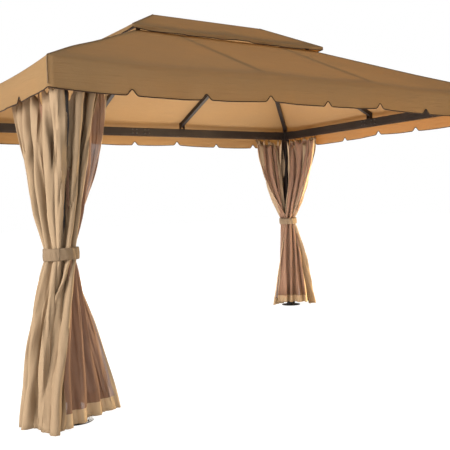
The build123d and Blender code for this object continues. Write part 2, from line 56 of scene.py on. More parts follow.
BODY = "root"
CHART = "cloth"
MARGIN = "margin"
FACING = "facing"
FULL_TURN = 2 * math.pi

HALF_LENGTH = 2.0
HALF_WIDTH = 1.46
EAVE = 2.01
POST_X = 1.882
POST_Y = 1.342
TIE_HEIGHT = 0.95
BEAM_TOP = 1.99
BEAM_DEPTH = 0.066
RAIL_DEPTH = 0.016
RAIL_UNDER = BEAM_TOP - BEAM_DEPTH - RAIL_DEPTH
PANEL_TOP = RAIL_UNDER - 0.014
PANEL_FOOT = 0.022
BUNDLE_MIDDLE = (0.0112, 0.0112)
CURTAIN_LANE = -0.012
NET_LANE = 0.018
CURTAIN_THICKNESS = 0.0014
NET_THICKNESS = 0.0006
TIE_TURNS = 1.18


class Corner(Enum):
    """The four posts, each with the signs of its X and Y."""

    FRONT_LEFT = (-1, -1)
    BACK_LEFT = (-1, 1)
    BACK_RIGHT = (1, 1)
    FRONT_RIGHT = (1, -1)

    @property
    def word(self) -> str:
        """The corner's name as the model's nodes have it."""
        return self.name.lower()


class Rail(Enum):
    """The rail that a panel hangs from."""

    LONG = "long"
    SHORT = "short"


# Shader expressions


class Value:
    """A number at each point of a surface, with the operators that add Math nodes."""

    def __init__(self, graph: "Graph", socket: bpy.types.NodeSocket) -> None:
        """Wraps a socket of a graph."""
        self.graph = graph
        self.socket = socket

    def _math(self, operation: str, *operands: object) -> "Value":
        """A Math node on the operands, as a new value."""
        node = self.graph.node("ShaderNodeMath", {"operation": operation}, dict(enumerate(operands)))
        return Value(self.graph, node.outputs[0])

    def __add__(self, other: object) -> "Value":
        """self + other."""
        return self._math("ADD", self, other)

    def __radd__(self, other: object) -> "Value":
        """other + self."""
        return self._math("ADD", other, self)

    def __sub__(self, other: object) -> "Value":
        """self - other."""
        return self._math("SUBTRACT", self, other)

    def __rsub__(self, other: object) -> "Value":
        """other - self."""
        return self._math("SUBTRACT", other, self)

    def __mul__(self, other: object) -> "Value":
        """self * other."""
        return self._math("MULTIPLY", self, other)

    def __rmul__(self, other: object) -> "Value":
        """other * self."""
        return self._math("MULTIPLY", other, self)

    def sine(self) -> "Value":
        """Sine of the value, in radians."""
        return self._math("SINE", self)

    def above(self, level: float, soft: float) -> "Value":
        """A mask that rises from 0 to 1 round a level.

        Args:
            level: where the mask is one half.
            soft: half the width of the rise.
        Returns:
            The mask.
        """
        node = self.graph.node(
            "ShaderNodeMapRange",
            {"interpolation_type": "SMOOTHSTEP"},
            {"Value": self, "From Min": level - soft, "From Max": level + soft},
        )
        return Value(self.graph, node.outputs["Result"])

    def below(self, level: float, soft: float) -> "Value":
        """The opposite mask of above."""
        return 1 - self.above(level, soft)

    def largest(self, other: object) -> "Value":
        """The larger of two values."""
        return self._math("MAXIMUM", self, other)


class Graph:
    """The shader nodes of one material or of the world."""

    def __init__(self, owner: bpy.types.ID, output: str = "ShaderNodeOutputMaterial") -> None:
        """Empties the owner's tree and gives it its output node.

        Args:
            owner: a new material or world.
            output: the type of its output node.
        """
        owner.use_nodes = True
        self.owner = owner
        self.tree = owner.node_tree
        self.tree.nodes.clear()
        self.output = self.tree.nodes.new(output)

    def node(self, kind: str, settings: dict[str, object], inputs: dict[object, object]) -> bpy.types.Node:
        """Adds a node.

        Args:
            kind: the node's type.
            settings: its properties, set first.
            inputs: a number, colour, value or socket for each input name or index.
        Returns:
            The new node.
        """
        node = self.tree.nodes.new(kind)
        for key, setting in settings.items():
            setattr(node, key, setting)
        for key, given in inputs.items():
            source = given.socket if isinstance(given, Value) else given
            if isinstance(source, bpy.types.NodeSocket):
                self.tree.links.new(source, node.inputs[key])
            else:
                node.inputs[key].default_value = self._fitted(node.inputs[key], source)
        return node

    @staticmethod
    def _fitted(socket: bpy.types.NodeSocket, source: object) -> object:
        """A plain value in the form that a socket takes."""
        if socket.type == "RGBA" and len(source) == 3:
            return (*source, 1.0)
        return source

    def place(self, scale: Triple = (1.0, 1.0, 1.0)) -> bpy.types.NodeSocket:
        """Object coordinates in metres, stretched by a scale."""
        return self.stretched(self.node("ShaderNodeTexCoord", {}, {}).outputs["Object"], scale)

    def chart(self) -> tuple[Value, Value, bpy.types.NodeSocket]:
        """The flat cloth's own coordinates in metres: across, along, and both as a vector."""
        both = self.node("ShaderNodeUVMap", {"uv_map": CHART}, {}).outputs["UV"]
        parts = self.node("ShaderNodeSeparateXYZ", {}, {"Vector": both})
        return Value(self, parts.outputs["X"]), Value(self, parts.outputs["Y"]), both

    def stretched(self, vector: bpy.types.NodeSocket, scale: Triple) -> bpy.types.NodeSocket:
        """A vector times a scale."""
        return self.node("ShaderNodeMapping", {}, {"Vector": vector, "Scale": scale}).outputs["Vector"]

    def noise(self, at: bpy.types.NodeSocket, scale: float, detail: float = 3.0, rough: float = 0.5) -> Value:
        """Noise from 0 to 1 at a vector."""
        inputs = {"Vector": at, "Scale": scale, "Detail": detail, "Roughness": rough}
        return Value(self, self.node("ShaderNodeTexNoise", {}, inputs).outputs[0])

    def mix(self, share: object, first: object, second: object) -> bpy.types.NodeSocket:
        """A mix of two colours."""
        return self.node("ShaderNodeMix", {"data_type": "RGBA"}, {0: share, 6: first, 7: second}).outputs[2]

    def layered(self, share: object, first: bpy.types.Node, second: bpy.types.Node) -> bpy.types.NodeSocket:
        """A mix of two shaders."""
        inputs = {0: share, 1: first.outputs[0], 2: second.outputs[0]}
        return self.node("ShaderNodeMixShader", {}, inputs).outputs[0]

    def seen_directly(self) -> Value:
        """1 for what the camera sees, also through something clear, and 0 elsewhere."""
        rays = self.node("ShaderNodeLightPath", {}, {}).outputs
        return Value(self, rays["Is Camera Ray"]).largest(Value(self, rays["Is Transmission Ray"]))

    def bump(self, height: Value, strength: float, distance: float) -> bpy.types.NodeSocket:
        """A normal that leans with a height."""
        node = self.node("ShaderNodeBump", {}, {"Height": height, "Strength": strength, "Distance": distance})
        return node.outputs["Normal"]

    def surface(self, shader: bpy.types.NodeSocket) -> bpy.types.ID:
        """Links a shader to the output and returns the material or world."""
        self.tree.links.new(shader, self.output.inputs["Surface"])
        return self.owner


@dataclass(frozen=True)
class ClothFinish:
    """Woven polyester: plain-woven threads with faint painted shade between them, faint slubs, wrinkles, a
    stitched hem and light that comes through.
    """

    name: str
    light: Colour
    dark: Colour
    glow: Colour
    through: float
    wrinkles: Triple
    wrinkle_depth: float
    hem: float
    thread_pitch: float = 0.0016
    roughness: float = 0.86

    def material(self) -> bpy.types.Material:
        """Builds the material.

        Returns:
            A mix of a woven surface and the light that the thin cloth lets through.
        """
        g = Graph(bpy.data.materials.new(self.name))
        across, along, flat = g.chart()
        pitch = FULL_TURN / self.thread_pitch
        weave_height_and_shade = (across * pitch).sine() * (along * pitch).sine()
        patches = g.noise(g.place(), 1.7, 4.0, 0.6)
        fine_rate, long_rate = 220.0, 9.0
        slubs = g.noise(g.stretched(flat, (fine_rate, long_rate, 1.0)), 1.0, 2.0)
        cross_slubs = g.noise(g.stretched(flat, (long_rate, fine_rate, 1.0)), 1.0, 2.0)
        # the weave's height also darkens the colour a little between the threads: painted shade
        share = (patches * 0.9 + slubs * 0.25 + cross_slubs * 0.25 - 0.35) + weave_height_and_shade * 0.03
        colour = g.mix(share, self.dark, self.light)
        stitch_width, stitch_blur = 0.002, 0.0012
        stitches = along.above(self.hem, stitch_blur) * along.below(self.hem + stitch_width, stitch_blur)
        colour = g.mix(stitches * 0.4, colour, self.dark)
        creases = g.noise(g.stretched(g.place(), self.wrinkles), 1.0, 4.0, 0.62)
        fine = g.noise(g.place(), 38.0, 3.0, 0.6)
        leaning = g.bump(creases + fine * 0.12, 0.65, self.wrinkle_depth)
        threads = g.node(
            "ShaderNodeBump", {}, {"Height": weave_height_and_shade, "Strength": 0.25, "Distance": 0.0003, "Normal": leaning}
        )
        cloth = g.node(
            "ShaderNodeBsdfPrincipled",
            {},
            {
                "Base Color": colour,
                "Roughness": self.roughness,
                "Specular IOR Level": 0.18,
                "Sheen Weight": 0.25,
                "Sheen Roughness": 0.5,
                "Sheen Tint": self.light,
                "Normal": threads.outputs["Normal"],
            },
        )
        lit = g.node("ShaderNodeBsdfTranslucent", {}, {"Color": g.mix(share, self.glow, self.light)})
        return g.surface(g.layered(self.through, cloth, lit))


@dataclass(frozen=True)
class NetFinish:
    """Fine insect netting with cloth hems and edge tapes sewn on."""

    name: str
    yarn: Colour
    deep: Colour
    tape: Colour
    height: float
    cover: float = 0.68
    hem: float = 0.075
    heading: float = 0.0525
    edge: float = 0.022
    mesh_pitch: float = 0.0022

    def material(self) -> bpy.types.Material:
        """Builds the material.

        Returns:
            A see-through net whose hem band and edge tapes are plain cloth.
        """
        g = Graph(bpy.data.materials.new(self.name))
        across, along, flat = g.chart()
        pitch = FULL_TURN / self.mesh_pitch
        cells = (across * pitch).sine() * (along * pitch).sine()
        patches = g.noise(g.place(), 2.3)
        blur = 0.001
        bands = along.below(self.hem, blur).largest(along.above(self.height - self.heading, blur))
        margin = Value(g, g.node("ShaderNodeAttribute", {"attribute_name": MARGIN}, {}).outputs["Fac"])
        solid = bands.largest(margin.below(self.edge, blur))
        net = g.mix(patches, self.deep, self.yarn)
        slubs = g.noise(g.stretched(flat, (160.0, 12.0, 1.0)), 1.0, 2.0)
        cloth = g.mix(slubs, self.tape, g.mix(0.25, self.tape, self.deep))
        creases = g.noise(g.stretched(g.place(), (26.0, 26.0, 2.2)), 1.0)
        thread = g.node(
            "ShaderNodeBsdfPrincipled",
            {},
            {
                "Base Color": g.mix(solid, net, cloth),
                "Roughness": 0.8,
                "Specular IOR Level": 0.2,
                "Sheen Weight": 0.2,
                "Sheen Tint": self.tape,
                "Alpha": solid + (1 - solid) * (self.cover + cells * 0.015),
                "Normal": g.bump(creases + cells * 0.01, 0.5, 0.004),
            },
        )
        return g.surface(thread.outputs[0])


@dataclass(frozen=True)
class PaintFinish:
    """Powder-coated steel or aluminium: fine orange peel with rubbed patches and streaks."""

    name: str
    paint: Colour
    worn: Colour
    roughness: float = 0.42

    def material(self) -> bpy.types.Material:
        """Builds the material.

        Returns:
            The paint.
        """
        g = Graph(bpy.data.materials.new(self.name))
        peel = g.noise(g.place(), 420.0, 2.0)
        patches = g.noise(g.place(), 5.5, 5.0, 0.65)
        streaks = g.noise(g.place((3.0, 3.0, 60.0)), 1.0)
        rubbed = (patches * 0.7 + streaks * 0.4).above(0.62, 0.22)
        coat = g.node(
            "ShaderNodeBsdfPrincipled",
            {},
            {
                "Base Color": g.mix(rubbed, self.paint, self.worn),
                "Roughness": patches * 0.3 + (self.roughness - 0.15),
                "Metallic": 0.15,
                "Normal": g.bump(peel, 0.35, 0.0004),
            },
        )
        return g.surface(coat.outputs[0])


@dataclass(frozen=True)
class TapeFinish:
    """Piping cord with a fine diagonal rib, whose grooves are darkened as painted shade."""

    name: str
    light: Colour
    dark: Colour
    rib: float = 900.0

    def material(self) -> bpy.types.Material:
        """Builds the material.

        Returns:
            The ribbed cord.
        """
        g = Graph(bpy.data.materials.new(self.name))
        parts = g.node("ShaderNodeSeparateXYZ", {}, {"Vector": g.place()}).outputs
        diagonal = Value(g, parts["X"]) + Value(g, parts["Y"]) + Value(g, parts["Z"])
        rib_height_and_shade = (diagonal * self.rib).sine() * 0.5 + 0.5
        wear = g.noise(g.place(), 14.0)
        tape = g.node(
            "ShaderNodeBsdfPrincipled",
            {},
            {
                # the ribs' height darkens the grooves as painted shade; the wear noise is real wear
                "Base Color": g.mix(rib_height_and_shade * 0.4 + wear * 0.5, self.dark, self.light),
                "Roughness": 0.8,
                "Specular IOR Level": 0.2,
                "Normal": g.bump(rib_height_and_shade, 0.4, 0.0006),
            },
        )
        return g.surface(tape.outputs[0])


# Meshes

def linked(name: str, mesh: bpy.types.Mesh) -> bpy.types.Object:
    """Makes an object of a mesh and links it to the scene."""
    piece = bpy.data.objects.new(name, mesh)
    bpy.context.scene.collection.objects.link(piece)
    return piece
def sheet_object(name: str, points: np.ndarray, chart: np.ndarray, closed: bool = False) -> bpy.types.Object:
    """Makes a smooth mesh from a grid of points.

    Args:
        name: the piece's name.
        points: rows by columns by 3, in metres.
        chart: rows by columns by 2, the flat place of each point, with one more column if closed.
        closed: whether the last column joins the first.
    Returns:
        The object, linked to the scene.
    """
    rows, columns = points.shape[:2]
    down, along = np.meshgrid(np.arange(rows - 1), np.arange(columns - (not closed)), indexing="ij")
    after = (along + 1) % columns
    here, under = down * columns, (down + 1) * columns
    quads = np.stack([here + along, under + along, under + after, here + after], axis=-1).reshape(-1, 4)
    spots = np.stack(
        [chart[down, along], chart[down + 1, along], chart[down + 1, along + 1], chart[down, along + 1]],
        axis=2,
    )
    mesh = bpy.data.meshes.new(name)
    mesh.from_pydata(points.reshape(-1, 3).tolist(), [], quads.tolist())
    mesh.uv_layers.new(name=CHART).data.foreach_set("uv", spots.astype(np.float32).ravel())
    mesh.polygons.foreach_set("use_smooth", [True] * len(mesh.polygons))
    mesh.update()
    return linked(name, mesh)


def points_object(name: str, points: list[list[float]]) -> bpy.types.Object:
    """Makes an object of bare points, for a recipe to put things on."""
    mesh = bpy.data.meshes.new(name)
    mesh.from_pydata(points, [], [])
    return linked(name, mesh)


def line_object(name: str, lines: list[np.ndarray], closed: bool) -> bpy.types.Object:
    """Makes an object of bare edges, for a recipe to follow.

    Args:
        name: the piece's name.
        lines: the points of each line, in order.
        closed: whether each line's end joins its start.
    Returns:
        The object, linked to the scene.
    """
    points, edges = [], []
    for line in lines:
        start, count = len(points), len(line)
        points += line.tolist()
        edges += [(start + i, start + (i + 1) % count) for i in range(count if closed else count - 1)]
    mesh = bpy.data.meshes.new(name)
    mesh.from_pydata(points, edges, [])
    return linked(name, mesh)


def merge_doubles(piece: bpy.types.Object) -> None:
    """Joins the points of a mesh that share a place.

    Args:
        piece: the object whose mesh is merged.
    """
    work = bmesh.new()
    work.from_mesh(piece.data)
    bmesh.ops.remove_doubles(work, verts=work.verts, dist=1e-5)
    work.to_mesh(piece.data)
    work.free()


def thicken(piece: bpy.types.Object, thickness: float, offset: float = 0.0) -> None:
    """Gives a sheet its thickness.

    Args:
        piece: the sheet.
        thickness: metres of cloth.
        offset: 0 for both sides of the sheet, -1 for its inner side only.
    """
    wall = piece.modifiers.new("thickness", "SOLIDIFY")
    wall.thickness = thickness
    wall.offset = offset


def ripple(across: np.ndarray, along: np.ndarray, seed: int, pitch: Plan, waves: int = 5) -> np.ndarray:
    """Smooth random waves from about -1 to 1.

    Args:
        across: first coordinate in metres.
        along: second coordinate in metres.
        seed: which waves.
        pitch: usual length of a wave in each direction.
        waves: how many are added up.
    Returns:
        An array like across.
    """
    draw = np.random.default_rng(seed)
    total = np.zeros(np.broadcast(across, along).shape)
    for _ in range(waves):
        rate = draw.uniform(0.6, 1.6, 2) * draw.choice([-1, 1], 2) * FULL_TURN / np.array(pitch)
        total += np.sin(across * rate[0] + along * rate[1] + draw.uniform(0, FULL_TURN))
    return total / math.sqrt(waves)


def eased(share: np.ndarray) -> np.ndarray:
    """A smooth step from 0 to 1."""
    held = np.clip(share, 0, 1)
    return held * held * (3 - 2 * held)


def smooth_path(points: list[Plan], count: int) -> np.ndarray:
    """Points evenly spaced along a smooth curve through a few points.

    Args:
        points: places that the curve passes.
        count: how many points to return.
    Returns:
        count by 2.
    """
    knots = np.array(points, float)
    padded = np.vstack([2 * knots[0] - knots[1], knots, 2 * knots[-1] - knots[-2]])
    spans, steps = [], 30
    for index in range(len(knots) - 1):
        a, b, c, d = padded[index : index + 4]
        t = np.linspace(0, 1, steps, endpoint=index == len(knots) - 2)[:, None]
        curve = 2 * b + (c - a) * t + (2 * a - 5 * b + 4 * c - d) * t**2 + (3 * b - a - 3 * c + d) * t**3
        spans.append(0.5 * curve)
    dense = np.vstack(spans)
    lengths = np.concatenate([[0], np.cumsum(np.linalg.norm(np.diff(dense, axis=0), axis=1))])
    wanted = np.linspace(0, lengths[-1], count)
    return np.stack([np.interp(wanted, lengths, dense[:, axis]) for axis in (0, 1)], axis=1)


# Geometry Nodes


class Recipe:
    """A Geometry Nodes tree with named sizes."""

    def __init__(self, name: str, sizes: dict[str, float]) -> None:
        """Makes the tree's inputs and output.

        Args:
            name: the tree's name.
            sizes: a default for each named input.
        """
        self.tree = bpy.data.node_groups.new(name, "GeometryNodeTree")
        self.tree.interface.new_socket("Geometry", in_out="INPUT", socket_type="NodeSocketGeometry")
        for label, default in sizes.items():
            socket = self.tree.interface.new_socket(label, in_out="INPUT", socket_type="NodeSocketFloat")
            socket.default_value = default
        self.tree.interface.new_socket("Geometry", in_out="OUTPUT", socket_type="NodeSocketGeometry")
        self.source = self.tree.nodes.new("NodeGroupInput")

    def size(self, label: str) -> bpy.types.NodeSocket:
        """The socket of a named size."""
        return self.source.outputs[label]

    def add(
        self, kind: str, settings: dict[str, object], inputs: dict[object, object], output: int = 0
    ) -> bpy.types.NodeSocket:
        """Adds a node.

        Args:
            kind: the node's type.
            settings: its properties, set first.
            inputs: a value, a socket or a list of sockets for each input name or index.
            output: which output to return.
        Returns:
            The output.
        """
        node = self.tree.nodes.new(kind)
        for key, setting in settings.items():
            setattr(node, key, setting)
        for key, given in inputs.items():
            if isinstance(given, (list, bpy.types.NodeSocket)):
                for link in given if isinstance(given, list) else [given]:
                    self.tree.links.new(link, node.inputs[key])
            else:
                node.inputs[key].default_value = given
        return node.outputs[output]

    def on_points(self, shape: bpy.types.NodeSocket, turn: bpy.types.NodeSocket) -> bpy.types.NodeSocket:
        """A shape on each point of the guide, turned there."""
        inputs = {"Points": self.source.outputs["Geometry"], "Instance": shape, "Rotation": turn}
        return self.add("GeometryNodeInstanceOnPoints", {}, inputs)

    def finish(self, shape: bpy.types.NodeSocket, material: bpy.types.Material) -> None:
        """Ends the tree in smooth shading, real instances and a material.

        Args:
            shape: the geometry so far.
            material: what it is made of.
        """
        smooth = self.add("GeometryNodeSetShadeSmooth", {}, {"Geometry": shape})
        real = self.add("GeometryNodeRealizeInstances", {}, {"Geometry": smooth})
        dressed = self.add("GeometryNodeSetMaterial", {}, {"Geometry": real, "Material": material})
        sink = self.tree.nodes.new("NodeGroupOutput")
        self.tree.links.new(dressed, sink.inputs["Geometry"])

    def make(self, guide: bpy.types.Object, sizes: dict[str, float]) -> bpy.types.Object:
        """Runs the tree on a guide and keeps the result as the guide's plain mesh.

        Args:
            guide: the object whose mesh the tree reads.
            sizes: the named inputs to set.
        Returns:
            The same object.
        """
        modifier = guide.modifiers.new("recipe", "NODES")
        modifier.node_group = self.tree
        for item in self.tree.interface.items_tree:
            if item.in_out == "INPUT" and item.name in sizes:
                modifier[item.identifier] = sizes[item.name]
        guide.update_tag()
        seen = guide.evaluated_get(bpy.context.evaluated_depsgraph_get())
        mesh = bpy.data.meshes.new_from_object(seen)
        guide.modifiers.remove(modifier)
        guide.data = mesh
        return guide


def piping_recipe(material: bpy.types.Material) -> Recipe:
    """A round cord that follows the guide's edges.

    Args:
        material: what the cord is made of.
    Returns:
        The recipe, with its Radius to set.
    """
    recipe = Recipe("piping", {"Radius": 0.003})
    path = recipe.add("GeometryNodeMeshToCurve", {}, {"Mesh": recipe.source.outputs["Geometry"]})
    radius = recipe.size("Radius")
    ring = recipe.add("GeometryNodeCurvePrimitiveCircle", {}, {"Resolution": 6, "Radius": radius})
    profile = {"Curve": path, "Profile Curve": ring, "Fill Caps": True}
    tube = recipe.add("GeometryNodeCurveToMesh", {}, profile)
    recipe.finish(tube, material)
    return recipe


def hook_recipe(material: bpy.types.Material) -> Recipe:
    """A runner in the rail with a ring below it, at each point of the guide.

    Args:
        material: what the hooks are made of.
    Returns:
        The recipe, with its Ring, Wire and Drop to set.
    """
    ring_at, stem_at, glider_at = -0.009, 0.016, 0.026
    glider_size = {"Vertices": 10, "Radius": 0.0055, "Depth": 0.004}
    most_turn, turn_seed = 0.6, 4
    recipe = Recipe("hooks", {"Ring": 0.011, "Wire": 0.0016, "Drop": 0.03})
    radius, depth = recipe.size("Wire"), recipe.size("Drop")
    wire = recipe.add("GeometryNodeCurvePrimitiveCircle", {}, {"Resolution": 6, "Radius": radius})
    loop_size = {"Resolution": 14, "Radius": recipe.size("Ring")}
    loop = recipe.add("GeometryNodeCurvePrimitiveCircle", {}, loop_size)
    ring = recipe.add("GeometryNodeCurveToMesh", {}, {"Curve": loop, "Profile Curve": wire})
    upright = recipe.add(
        "GeometryNodeTransform",
        {},
        {"Geometry": ring, "Rotation": (math.pi / 2, 0, 0), "Translation": (0, 0, ring_at)},
    )
    stem = recipe.add("GeometryNodeMeshCylinder", {}, {"Vertices": 8, "Radius": radius, "Depth": depth})
    lifted = recipe.add("GeometryNodeTransform", {}, {"Geometry": stem, "Translation": (0, 0, stem_at)})
    glider = recipe.add("GeometryNodeMeshCylinder", {}, glider_size)
    raised = recipe.add("GeometryNodeTransform", {}, {"Geometry": glider, "Translation": (0, 0, glider_at)})
    whole = recipe.add("GeometryNodeJoinGeometry", {}, {"Geometry": [upright, lifted, raised]})
    limits = {2: -most_turn, 3: most_turn, "Seed": turn_seed}
    turned = recipe.add("FunctionNodeRandomValue", {"data_type": "FLOAT"}, limits, 1)
    angle = recipe.add("ShaderNodeCombineXYZ", {}, {"Z": turned})
    recipe.finish(recipe.on_points(whole, angle), material)
    return recipe


def bolt_recipe(material: bpy.types.Material) -> Recipe:
    """A washer and a domed head, at each point of the guide, that face along its "facing" attribute.

    Args:
        material: what the bolts are made of.
    Returns:
        The recipe, with its Head and Height to set.
    """
    washer_size = {"Vertices": 16, "Radius": 0.0095, "Depth": 0.0016}
    dome_radius = 0.0045
    recipe = Recipe("bolts", {"Head": 0.0075, "Height": 0.005})
    washer = recipe.add("GeometryNodeMeshCylinder", {}, washer_size)
    head_radius, height = recipe.size("Head"), recipe.size("Height")
    head_size = {"Vertices": 12, "Radius Top": dome_radius, "Radius Bottom": head_radius, "Depth": height}
    head = recipe.add("GeometryNodeMeshCone", {}, head_size)
    whole = recipe.add("GeometryNodeJoinGeometry", {}, {"Geometry": [washer, head]})
    facing = recipe.add("GeometryNodeInputNamedAttribute", {"data_type": "FLOAT_VECTOR"}, {"Name": FACING})
    turn = recipe.add("FunctionNodeAlignRotationToVector", {"axis": "Z"}, {"Vector": facing})
    recipe.finish(recipe.on_points(whole, turn), material)
    return recipe


# Roof cloths


@dataclass
class RoofCloth:
    """A hipped roof cloth in one sheet: four sagging slopes, a rolled eave and a hanging hem."""

    name: str
    nodes: tuple[str, ...]
    half_x: float
    half_y: float
    eave: float
    inner_y: float
    top: float
    drop: float
    scallops: tuple[int, int]
    roll: float
    corner_roll: float
    supports: tuple[float, ...]
    sag: float
    notch_height: float
    notch_reach: float
    hem_sag: float
    hem_wave: float
    seed: int
    corner_lift: float = 0.0
    slope_rows: int = 30
    roll_rows: int = 7
    hem_rows: int = 9
    spacing: float = 0.04
    thickness: float = 0.0014
    piping_radius: float = 0.0036
    seam_radius: float = 0.0026
    pucker_up: float = 0.0016
    pucker_out: float = 0.0012

    def side_fractions(self, length: float, scallops: int) -> np.ndarray:
        """Places along a side, closer together at the notches.

        Args:
            length: the side's length.
            scallops: how many scallops it has.
        Returns:
            The places, as shares of the length.
        """
        marks = list(np.arange(0, length, self.spacing))
        if self.notch_height:
            near = np.linspace(-1.1, 1.1, 15) * self.notch_reach
            for index in range(1, scallops):
                centre = index * length / scallops
                marks = [m for m in marks if abs(m - centre) > 1.25 * self.notch_reach]
                marks += list(centre + near)
        return np.array(sorted(marks)) / length

    def hem_rise(self, place: float, length: float, scallops: int) -> float:
        """How far the hem is above its lowest line.

        Args:
            place: metres along the side.
            length: the side's length.
            scallops: how many scallops it has.
        Returns:
            The rise.
        """
        pitch = length / scallops
        share = (place / pitch) % 1.0
        rise = self.hem_sag * (2 * share - 1) ** 2
        for index in range(1, scallops):
            away = min(abs(place - index * pitch) / self.notch_reach, 1.0)
            rise += self.notch_height * (0.5 + 0.5 * math.cos(math.pi * away)) ** 1.4
        return rise

    def build(self, cloth: bpy.types.Material, cord: Recipe, seam: Recipe) -> list[bpy.types.Object]:
        """Makes the sheet and its piping.

        Args:
            cloth: the cloth's material.
            cord: the recipe for the hem's piping.
            seam: the recipe for the seams down the hips and corners.
        Returns:
            The sheet, its hem piping and its hip seams.
        """
        reach = self.half_y - self.inner_y
        slope = (self.top - self.eave) / reach
        incline = math.atan(slope)
        sides = [(2 * self.half_x, self.scallops[0]), (2 * self.half_y, self.scallops[1])] * 2
        columns, chart, corners = [], [], []
        for index, (length, scallops) in enumerate(sides):
            corners.append(len(columns))
            for fraction in self.side_fractions(length, scallops):
                column, flat = self._column(index, fraction, length, scallops, reach, slope, incline)
                columns.append(column)
                chart.append(flat)
        points = np.stack(columns, axis=1)
        sheet = sheet_object(self.name, points, np.stack([*chart, chart[0]], axis=1), closed=True)
        merge_doubles(sheet)
        sheet.data.materials.append(cloth)
        thicken(sheet, self.thickness, -1.0)
        edge = line_object(self.name + "_piping", [points[-1]], True)
        hem = cord.make(edge, {"Radius": self.piping_radius})
        hips = line_object(self.name + "_seams", [points[:-1, column] for column in corners], False)
        seams = seam.make(hips, {"Radius": self.seam_radius})
        for piece in (sheet, hem, seams):
            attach(piece, BODY)
        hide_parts(*self.nodes)
        log.info("%s: %d columns of points, with piping and seams", self.name, len(columns))
        return [sheet, hem, seams]

    def _column(
        self,
        side: int,
        fraction: float,
        length: float,
        scallops: int,
        reach: float,
        slope: float,
        incline: float,
    ) -> tuple[np.ndarray, np.ndarray]:
        """One line of points from the top of the slope down to the hem.

        Args:
            side: 0 front, 1 right, 2 back, 3 left.
            fraction: place along the side.
            length: the side's length at the eave.
            scallops: how many scallops it has.
            reach: level distance from the top of the slope to the eave.
            slope: rise over run.
            incline: the slope's angle.
        Returns:
            The points, and their flat places.
        """
        place = fraction * length
        centred = place - length / 2
        bulge = math.sin(math.pi * fraction) ** 0.5 if 0 < fraction < 1 else 0.0
        roll = self.corner_roll + (self.roll - self.corner_roll) * bulge
        lead = roll * math.tan((math.pi / 2 - incline) / 2)
        run = np.linspace(0, reach - lead * math.cos(incline), self.slope_rows)
        turn = np.linspace(incline, math.pi / 2, self.roll_rows + 1)[1:]
        begin = self.eave - lead
        foot = self.eave - self.drop + self.hem_rise(place, length, scallops)
        fall = np.linspace(begin, foot, self.hem_rows + 1)[1:]
        out = np.concatenate([run, reach - roll + roll * np.sin(turn), np.full(self.hem_rows, reach)])
        up = np.concatenate([self.top - slope * run, begin + roll * np.cos(turn), fall])
        share = np.clip(out / reach, 0, 1)
        half_here = (self.half_x if side in (0, 2) else self.half_y) - reach + out
        across = centred / (length / 2) * half_here
        up = up - self._sagging(side, across, half_here, share)
        up = up + self.corner_lift * np.exp(-(((share - 0.78) / 0.16) ** 2)) * (1 - bulge)
        hanging = eased((begin - up) / max(self.drop, 1e-6))
        wave = float(ripple(np.array([place]), np.array([side * 3.1]), self.seed, (0.45, 9.0))[0])
        quick = float(ripple(np.array([place]), np.array([side * 5.7]), self.seed + 3, (0.13, 9.0))[0])
        seam = eased(np.array([min(place, length - place) / 0.12]))[0]
        billow = (self.hem_wave * wave + 0.3 * self.hem_wave * quick) * seam * hanging
        pucker = ripple(share * 1.1, np.full_like(share, centred * 0.35 + side), self.seed + 7, (0.075, 1.6))
        near_corner = np.exp(-(((length / 2 - abs(centred)) / 0.45) ** 2))
        on_slope = seam * (1 - hanging) * np.sin(np.pi * share)
        up = up + pucker * self.pucker_up * (0.35 + near_corner) * on_slope
        out = out + billow + pucker * self.pucker_out * seam * hanging
        distance = np.concatenate([[0], np.cumsum(np.hypot(np.diff(out), np.diff(up)))])
        flat = np.stack([np.full_like(distance, place), distance[-1] - distance], axis=1)
        far_x, far_y = self.half_x - reach + out, self.half_y - reach + out
        spots = [(across, -far_y), (far_x, across), (-across, far_y), (-far_x, -across)][side]
        return np.stack([*spots, up], axis=1), flat

    def _sagging(self, side: int, across: np.ndarray, half: np.ndarray, share: np.ndarray) -> np.ndarray:
        """How far the cloth sinks between the tubes that carry it.

        Args:
            side: 0 front, 1 right, 2 back, 3 left.
            across: each point's place along the side, from its middle.
            half: half the cloth's width there.
            share: each point's share of the way to the eave.
        Returns:
            The drop of each point.
        """
        inner = self.supports if side in (0, 2) else (0.0,)
        marks = np.stack([-half, *[np.full_like(half, s) for s in inner], half])
        marks = np.clip(marks, -half, half)
        low = np.max(np.where(marks <= across + 1e-9, marks, -half), axis=0)
        high = np.min(np.where(marks > across + 1e-9, marks, half), axis=0)
        width = np.maximum(high - low, 1e-6)
        bow = np.clip(4 * (across - low) * (high - across) / width**2, 0, 1)
        held = np.sin(np.clip(share / 0.6, 0, 1) * np.pi / 2) * (1 - 0.35 * eased((share - 0.8) / 0.2))
        return self.sag * width**2 * bow * held


# Curtains and nets


